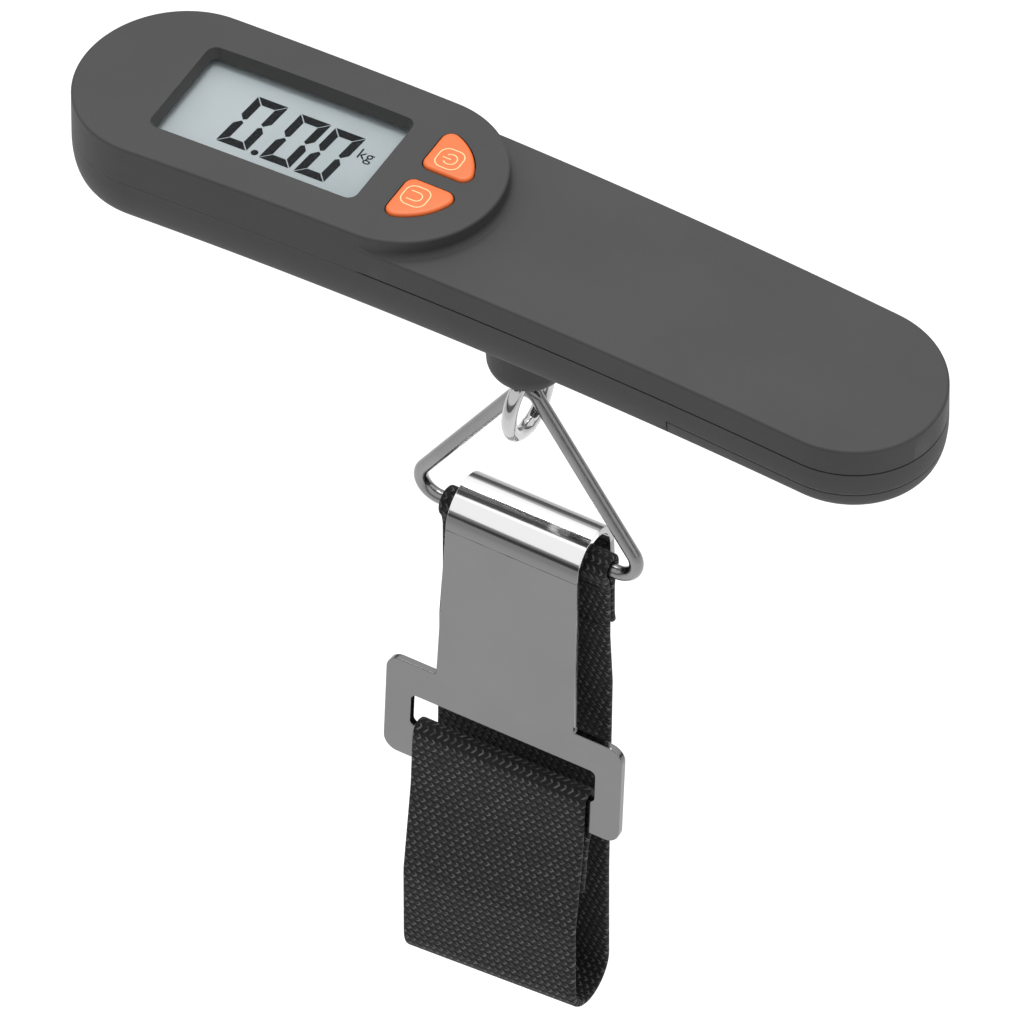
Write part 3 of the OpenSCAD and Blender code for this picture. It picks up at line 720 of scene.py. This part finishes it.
def key_cap(side, name, body, node):
    base = key_outline(0.0)
    middle = base.mean(0)
    rings = [np.column_stack([base, np.full(len(base), -3.0)])]
    rings += [np.column_stack([key_outline(i), np.full(len(base), dz)]) for i, dz in rounding(0.55, 8)]
    rim = key_outline(0.55)
    for shrink in (0.8, 0.55, 0.3, 0.1):
        rings.append(np.column_stack([middle + (rim - middle) * shrink,
                                      np.full(len(rim), 0.07 * (1 - shrink ** 2))]))
    points = np.concatenate(rings)
    points[:, 1] *= side
    x = KEY_X + points[:, 0]
    n = len(base)
    corners = np.column_stack([x, points[:, 1], key_height(x) + points[:, 2]])
    faces = grid_quads(len(rings), n, wrap_columns=True).tolist() + end_caps(len(rings), n)
    cap = new_piece(name, corners, faces, 60)
    skirt = copy_of(node, name + "_skirt")
    below, below_faces = slab(rounded_rectangle(30, 24, 0.5), -9, -2.62)
    below = display_point(below + [KEY_X - WINDOW_X + 6, 0, 0])
    combine(skirt, new_piece("below", below, below_faces), "INTERSECT")
    for part in (cap, skirt):
        paint(part, orange_plastic)
        finished(part, body, "orange_plastic", node)
    return cap


key_cap(1, "power_key", "power_button", "power_button")
key_cap(-1, "unit_key", "unit_button", "unit_button")

# %% [markdown]
# Each key has a printed mark: a rounded frame with a sign in it. The prints are ribbons of
# ink a few hundredths of a millimetre proud of the key.

# %% Printed marks
def ribbon(line, width, closed):
    """A flat line given a width: each point moves half the width to either side."""
    line = np.asarray(line, float)
    ahead = np.roll(line, -1, 0) - np.roll(line, 1, 0)
    if not closed:
        ahead[0], ahead[-1] = line[1] - line[0], line[-1] - line[-2]
    side = unit(np.column_stack([-ahead[:, 1], ahead[:, 0]])) * width / 2
    return np.stack([line - side, line + side], 1)


def print_on_key(name, lines, centre, body):
    parts = []
    for line, closed in lines:
        strip = ribbon(line, 0.2, closed).reshape(-1, 2) + centre
        x = KEY_X + strip[:, 0]
        top = np.column_stack([x, strip[:, 1], key_height(x) + 0.10])
        rings = np.stack([top, top - [0, 0, 0.09]], 1).reshape(-1, 2, 2, 3)
        loop = rings[:, [0, 1, 1, 0], [0, 0, 1, 1]].reshape(-1, 3)
        count = len(line)
        faces = grid_quads(count, 4, wrap_rows=closed, wrap_columns=True).tolist()
        if not closed:
            faces += [[0, 1, 2, 3], [4 * count - 4, 4 * count - 3, 4 * count - 2, 4 * count - 1]]
        parts.append((loop, faces))
    mark = new_piece(name, *join(parts))
    paint(mark, cream_print)
    finished(mark, body, "orange_plastic")


frame_line = rounded_rectangle(4.3, 4.3, 1.5)
broken_ring = arc((0.1, 0), 1.12, -140, 140, 40)
print_on_key("power_mark", [(frame_line, True), (broken_ring, False),
                            (np.array([[-1.3, 0], [-0.6, 0], [0.2, 0]]), False)],
             (5.2, 4.6), "power_button")
hook_line = np.concatenate([[[-1.25, 0.95], [-0.6, 0.95]], arc((0.15, 0), 0.95, 90, -90, 20),
                            [[-0.6, -0.95], [-1.25, -0.95]]])
print_on_key("unit_mark_print", [(frame_line, True), (hook_line, False)], (4.7, -5.2), "unit_button")

# %% [markdown]
# ## Eye and ring
#
# The eye is a round ring of polished wire, butt-welded at the bottom, where the weld leaves
# a slight bulge. The triangle is bent from satin wire with three round corners.

# %% Eye
EYE_R, EYE_WIRE, EYE_Z = 6.0, 2.5, -33.0
a = np.radians(np.linspace(0, 360, 160, endpoint=False))
eye_path = np.column_stack([0 * a, EYE_R * np.sin(a), EYE_Z - EYE_R * np.cos(a)])
from_weld = np.minimum(a, 2 * np.pi - a) * EYE_R
bulge = 0.10 * np.exp(-(from_weld / 0.45) ** 2) - 0.05 * np.exp(-(from_weld / 0.12) ** 2)
eye = new_piece("eye_wire", *round_wire(eye_path, EYE_WIRE / 2 + bulge, 40))
paint(eye, polished_steel)
finished(eye, "eye", "polished_steel", "eye")

# %% Ring
RING_WIRE, APEX_Z, BAR_Z, BAR_HALF, APEX_BEND, CORNER_BEND = 2.4, -29.3, -64.2, 23.0, 2.0, 3.6
half_apex = math.degrees(math.atan(BAR_HALF / (APEX_Z - BAR_Z)))
apex_centre = (0, APEX_Z - APEX_BEND / math.sin(math.radians(half_apex)))
corner_x = BAR_HALF - CORNER_BEND / math.tan(math.radians((90 - half_apex) / 2))


def stretch(points, longest=2.0):
    """Adds points along the straight runs of a closed line, no further apart than longest."""
    out = []
    for p, q in zip(points, np.roll(points, -1, 0)):
        count = max(1, math.ceil(np.linalg.norm(q - p) / longest))
        out.append(p + (q - p) * np.linspace(0, 1, count, endpoint=False)[:, None])
    return np.concatenate(out)


triangle = stretch(np.concatenate([
    arc(apex_centre, APEX_BEND, 180 - half_apex, half_apex, 24),
    arc((corner_x, BAR_Z + CORNER_BEND), CORNER_BEND, half_apex, -90, 28),
    arc((-corner_x, BAR_Z + CORNER_BEND), CORNER_BEND, -90, -180 - half_apex, 28)]))
ring = new_piece("ring_wire", *round_wire(np.column_stack([triangle[:, 0], 0 * triangle[:, 0],
                                                           triangle[:, 1]]), RING_WIRE / 2, 36))
paint(ring, satin_steel)
finished(ring, "ring", "satin_steel", "ring")

# %% [markdown]
# ## The strap
#
# One length of webbing is sewn round the ring's bar, runs down behind, turns up at the
# bottom, and passes through the buckle's slot from behind, round its lower bar, and down.
# A path of middle points carries a flat section with round selvedges. The section's two
# faces are finely gridded, and its UV map holds the distances across and along.

# %% Webbing sweep
STRAP_W, STRAP_T = 32.0, 1.25


def even(path, spacing=0.4):
    """The same path with points a fixed distance apart, passed through a smooth curve."""
    path = np.asarray(path, float)
    run = np.concatenate([[0], np.cumsum(np.linalg.norm(np.diff(path, axis=0), axis=1))])
    t = np.linspace(0, run[-1], max(3, int(run[-1] / spacing)))
    return np.column_stack([np.interp(t, run, path[:, k]) for k in (0, 1)]), t


def eased(path, passes):
    """Rounds an evenly spaced path: each point moves to the mean of its neighbours, again and again."""
    path = path.copy()
    for _ in range(passes):
        path[1:-1] = (path[:-2] + 2 * path[1:-1] + path[2:]) / 4
    return path


def webbing_strip(name, path, width=STRAP_W, thickness=STRAP_T, start=0.0, passes=12):
    """Sweeps the webbing's section along a path in (y, z). Lower down, one selvedge hangs lower
    than the other: a corner sinks in proportion to its x and to how far down it is."""
    line, run = even(path)
    line = eased(line, passes)
    ahead = unit(np.gradient(line, axis=0))
    normal = np.column_stack([-ahead[:, 1], ahead[:, 0]])
    flat = np.linspace(-width / 2 + 0.5, width / 2 - 0.5, 40)
    edge = np.radians(np.linspace(-60, 60, 5))
    x = np.concatenate([flat, width / 2 - 0.5 + 0.5 * np.cos(edge), flat[::-1],
                        -width / 2 + 0.5 - 0.5 * np.cos(edge)])
    off = np.concatenate([0 * flat - 1, np.sin(edge), 0 * flat + 1, -np.sin(edge)]) * thickness / 2
    narrow = 1 - 0.035 * np.clip((line[:, 1] - SEWN_Z + 12) / 10, 0, 1)
    shape = np.stack([narrow[:, None] * x,
                      line[:, None, 0] + normal[:, None, 0] * off,
                      line[:, None, 1] + normal[:, None, 1] * off], -1)
    hang = np.clip((-105 - shape[..., 2]) / 40, 0, 1)
    shape[..., 2] += 0.07 * shape[..., 0] * hang * hang * (3 - 2 * hang)
    n = len(x)
    faces = grid_quads(len(line), n, wrap_columns=True).tolist() + end_caps(len(line), n)
    mesh = bpy.data.meshes.new(name)
    mesh.from_pydata((shape.reshape(-1, 3) * MM).tolist(), [], faces)
    piece = bpy.data.objects.new(name, mesh)
    scene.collection.objects.link(piece)
    layer = mesh.uv_layers.new(name="cloth")
    index = np.zeros(len(mesh.loops), int)
    mesh.loops.foreach_get("vertex_index", index)
    uv = np.column_stack([(x[index % n] + 40) * MM, (run[index // n] + start) * MM])
    layer.data.foreach_set("uv", uv.ravel())
    bm = bmesh.new()
    bm.from_mesh(mesh)
    bmesh.ops.recalc_face_normals(bm, faces=bm.faces)
    bm.to_mesh(mesh)
    bm.free()
    mesh.shade_smooth()
    mesh.set_sharp_from_angle(angle=math.radians(50))
    paint(piece, webbing)
    return piece, run[-1]


REAR_Y, BEND_Z, BEND_R = -2.0, -153.0, 5.35
FRONT_Y = REAR_Y - 2 * BEND_R
LOOP_IN = RING_WIRE / 2 + 0.08
SEWN_Z = BAR_Z - 13.0
CUT_Z = BEND_Z + 14.0
loop_r = LOOP_IN + STRAP_T * 1.02
rear_path = np.concatenate([
    [[1.6 * STRAP_T / 2, SEWN_Z + 0.4], [STRAP_T * 0.55, SEWN_Z + 2], [STRAP_T * 0.55, BAR_Z - 4.2]],
    arc((0, BAR_Z), loop_r - STRAP_T / 2 + 0.1, -52, 232, 30),
    [[-STRAP_T * 0.55, BAR_Z - 4.2], [-STRAP_T * 0.55, SEWN_Z], [-0.9, SEWN_Z - 12], [-1.4, SEWN_Z - 30],
     [REAR_Y, BEND_Z + 20], [REAR_Y, CUT_Z]]])
rear, rear_length = webbing_strip("webbing_rear", rear_path, passes=3)
finished(rear, "strap", "webbing", "strap_loop", "strap_rear")

bend_path = np.concatenate([[[REAR_Y, CUT_Z], [REAR_Y, BEND_Z + 2]],
                            arc((REAR_Y - BEND_R, BEND_Z), BEND_R, 0, -180, 40),
                            [[FRONT_Y, BEND_Z + 2], [FRONT_Y, CUT_Z]]])
bend, bend_length = webbing_strip("webbing_bend", bend_path, start=rear_length, passes=0)
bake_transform(bend)
finished(bend, None, "webbing", "strap_bend")

# %% [markdown]
# The plate's middle surface runs down from the hook, leaning forward. Distances s are
# measured down the plate, and off is how far in front of it a point lies.

# %% Front limb
SHEET, PLATE_LEAN = 1.3, math.radians(3.9)
HOOK_C, HOOK_R = np.array([0.4, BAR_Z - 0.1]), 5.35
BASE_TOP, BASE_H, SLOT_TOP, SLOT_H = 32.4, 20.2, 39.0, 6.6


def plate_point(s, off=0.0):
    return np.array([HOOK_C[0] - HOOK_R - s * math.sin(PLATE_LEAN) - off * math.cos(PLATE_LEAN),
                     HOOK_C[1] - s * math.cos(PLATE_LEAN) + off * math.sin(PLATE_LEAN)])


over = SHEET / 2 + STRAP_T / 2 + 0.15
wrap = SLOT_TOP + SLOT_H + 0.5
front_path = [[FRONT_Y, CUT_Z], [FRONT_Y + 0.02, CUT_Z + 1.0], plate_point(BASE_TOP + BASE_H + 4, over),
              plate_point(BASE_TOP + BASE_H - 3, over + 0.05)]
front_path += [plate_point(wrap - over * math.sin(a), over * math.cos(a))
               for a in np.radians(np.arange(0, 181, 15))]
front_path += [plate_point(BASE_TOP + BASE_H + 0.8, -over),
               plate_point(BASE_TOP + BASE_H + 4.6, over - STRAP_T - 0.4), [FRONT_Y + 2.9, BEND_Z + 22]]
front, front_length = webbing_strip("webbing_front", front_path, start=rear_length + bend_length, passes=2)
finished(front, "buckle", "webbing", "strap_front", "strap_tail")
print("webbing lengths in mm:", round(rear_length, 1), round(bend_length, 1), round(front_length, 1),
      "total", round(rear_length + bend_length + front_length, 1))

# %% [markdown]
# ## The buckle
#
# The buckle is one piece of sheet steel: a plate that curls over into a hook at the top, and
# a broad base with a slot. The flat part is a filled curve with a rounded edge, and the hook
# is a sheet swept round the ring's bar.

# %% Flat plate and base
PLATE_W, BASE_W = 24.3, 43.8


def rounded_corners(points, radii, steps=8):
    """A polygon with each corner replaced by an arc that touches both of its sides."""
    points = np.asarray(points, float)
    out = []
    for before, corner, after, radius in zip(np.roll(points, 1, 0), points, np.roll(points, -1, 0), radii):
        if radius <= 0:
            out.append(corner[None])
            continue
        d1, d2 = unit(before - corner), unit(after - corner)
        half = math.acos(float(np.clip(d1 @ d2, -1, 1))) / 2
        centre = corner + unit(d1 + d2) * radius / math.sin(half)
        p, q = corner + d1 * radius / math.tan(half) - centre, corner + d2 * radius / math.tan(half) - centre
        t = np.linspace(0, 1, steps + 1)[:, None]
        out.append(centre + unit(p * (1 - t) + q * t) * radius)
    return np.concatenate(out)


bottom = BASE_TOP + BASE_H
wide = PLATE_W / 2 + 0.6
half_plate = [(PLATE_W / 2, 0.0), (wide, BASE_TOP), (BASE_W / 2, BASE_TOP), (BASE_W / 2, bottom)]
plate_line = rounded_corners([(x, -s) for x, s in half_plate] + [(-x, -s) for x, s in half_plate[::-1]],
                             [0, 0.5, 2.6, 2.6, 2.6, 2.6, 0.5, 0])
slot_line = rounded_rectangle(34.2, SLOT_H, 1.0) - [0, SLOT_TOP + SLOT_H / 2]
sheet_curve = bpy.data.curves.new("plate", "CURVE")
sheet_curve.dimensions, sheet_curve.fill_mode = "2D", "BOTH"
EASE = 0.14
sheet_curve.extrude, sheet_curve.bevel_depth = (SHEET / 2 - EASE) * MM, EASE * MM
sheet_curve.bevel_resolution = 2
sheet_curve.offset = -EASE * MM
for line in (plate_line, slot_line):
    spline = sheet_curve.splines.new("POLY")
    spline.points.add(len(line) - 1)
    spline.points.foreach_set("co", np.column_stack([line * MM, 0 * line[:, 0], 0 * line[:, 0] + 1]).ravel())
    spline.use_cyclic_u = True
flat = bpy.data.objects.new("plate", sheet_curve)
scene.collection.objects.link(flat)
bpy.context.view_layer.update()
plate_mesh = bpy.data.meshes.new_from_object(flat.evaluated_get(bpy.context.evaluated_depsgraph_get()))
bpy.data.objects.remove(flat)
local = np.array([v.co for v in plate_mesh.vertices]) / MM
start_point = plate_point(0.0)
placed = np.column_stack([local[:, 0],
                          start_point[0] + local[:, 1] * math.sin(PLATE_LEAN)
                          - local[:, 2] * math.cos(PLATE_LEAN),
                          start_point[1] + local[:, 1] * math.cos(PLATE_LEAN)
                          + local[:, 2] * math.sin(PLATE_LEAN)])
plate = new_piece("buckle_plate", placed, [list(p.vertices) for p in plate_mesh.polygons], 30)
paint(plate, buckle_steel)
finished(weigh(plate), "buckle", "buckle_steel", "buckle")

# %% Hook
hook_line = np.concatenate([[plate_point(0.3), plate_point(0.0)], arc(HOOK_C, HOOK_R, 178, 0, 60),
                            [HOOK_C + [HOOK_R + 0.1, -2.2], HOOK_C + [HOOK_R + 0.2, -4.2]]])
ahead = unit(np.gradient(hook_line, axis=0))
normal = np.column_stack([-ahead[:, 1], ahead[:, 0]])
section = rounded_rectangle(PLATE_W, SHEET, 0.16, 4)
hook = np.stack([np.broadcast_to(section[:, 0], (len(hook_line), len(section))),
                 hook_line[:, None, 0] + normal[:, None, 0] * section[:, 1],
                 hook_line[:, None, 1] + normal[:, None, 1] * section[:, 1]], -1)
n = len(section)
hook_faces = grid_quads(len(hook_line), n, wrap_columns=True).tolist() + end_caps(len(hook_line), n)
hook_piece = new_piece("buckle_hook", hook.reshape(-1, 3), hook_faces, 50)
# The hook's base colour holds a painted reflection. It is light grey from about 30 to 100 degrees round the
# bend, counted up from the front, and dimmer past 100; below 30 it keeps the plate's dark grey.
hook_steel_painted_reflection, shader, place = new_material("hook_steel_painted_reflection", Metallic=1.0, Roughness=0.10)
_, depth, height = place.split()
turn = (height - HOOK_C[1] * MM).math("ARCTAN2", HOOK_C[0] * MM - depth)
bright = turn.smooth(math.radians(28), math.radians(32)) * turn.smooth(math.radians(98), math.radians(102),
                                                                       1.0, 0.3)
feed(shader, "Base Color", bright.colours((0.21, 0.21, 0.21), (0.86, 0.86, 0.86)))
feed(shader, "Roughness", place.noise(90.0).smooth(0.3, 0.7, 0.09, 0.12))
paint(hook_piece, hook_steel_painted_reflection)
finished(hook_piece, "buckle", "buckle_steel", "buckle")
print("the hook's own middle (y, z) in mm:", HOOK_C.round(2))

# %% [markdown]
# ## Everything inside
#
# The CAD shapes of the small inner parts are right as they are, and each gets its finish.

# %% Finishes for the CAD nodes
board_green, shader, place = new_material("board_green", Roughness=0.35)
tracks = place.node("ShaderNodeTexVoronoi", {"feature": "DISTANCE_TO_EDGE"}, 0, Vector=place,
                    Scale=600.0).smooth(0.02, 0.08)
feed(shader, "Base Color", tracks.colours((0.05, 0.26, 0.12), (0.012, 0.12, 0.055)))
zebra_rubber, shader, place = new_material("zebra_rubber", Roughness=0.6)
stripe = (place.split()[0] * 5000.0).math("FRACT").smooth(0.4, 0.5)
feed(shader, "Base Color", stripe.colours((0.5, 0.2, 0.22), (0.05, 0.04, 0.04)))
red_insulation = moulded("red_insulation", (0.50, 0.02, 0.02), (0.60, 0.03, 0.03), 0.4)
gauge_film = moulded("gauge_film", (0.72, 0.66, 0.50), (0.80, 0.75, 0.60), 0.35)
ceramic = moulded("component_ceramic", (0.42, 0.33, 0.22), (0.52, 0.42, 0.30), 0.4)
finish_of = {
    "neck_bushing": black_plastic, "housing_screws": screw_steel, "lcd_reflector": beam_aluminium,
             "lcd_holder": white_plastic,
    "zebra_strips": zebra_rubber, "circuit_board": board_green, "board_screws": screw_steel,
             "controller_chip": black_plastic,
    "board_components": ceramic, "power_switch": black_plastic, "unit_switch": black_plastic,
             "power_plunger": white_plastic,
    "unit_plunger": white_plastic, "load_cell": beam_aluminium, "strain_gauges": gauge_film,
             "load_cell_screws": screw_steel,
    "load_cell_wires": white_plastic, "pull_rod": screw_steel, "rod_nut": screw_steel,
             "coin_cell": screw_steel,
    "positive_contact": contact_brass, "negative_contact": contact_brass, "red_wire": red_insulation,
             "black_wire": black_plastic,
    "strap_stitching": thread, "tail_stitching": thread}
for node, material in finish_of.items():
    paint(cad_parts[node], material)

# %% [markdown]
# ## Floor
#
# A plain pale floor lies well below the strap. It isn't part of the object.

# %% Floor
floor_mesh = bpy.data.meshes.new("floor")
reach, floor_z = 30.0, -0.9
floor_mesh.from_pydata([(-reach, -reach, floor_z), (reach, -reach, floor_z), (reach, reach, floor_z),
                        (-reach, reach, floor_z)], [], [(0, 1, 2, 3)])
floor = bpy.data.objects.new("floor", floor_mesh)
scene.collection.objects.link(floor)
floor_paint, shader, place = new_material("floor_paint", Roughness=0.9)
floor_x, floor_y, _ = place.split()
away = (floor_x * floor_x + floor_y * floor_y).math("SQRT")
feed(shader, "Base Color", away.smooth(1.3, 3.2).colours((0.86, 0.86, 0.86), (0.78, 0.78, 0.78)))
feed(shader, "Emission Color", away.smooth(1.3, 3.2).colours((1.0, 1.0, 1.0), (0.2, 0.2, 0.2)))
shader.inputs["Emission Strength"].default_value = 0.12
paint(floor, floor_paint)
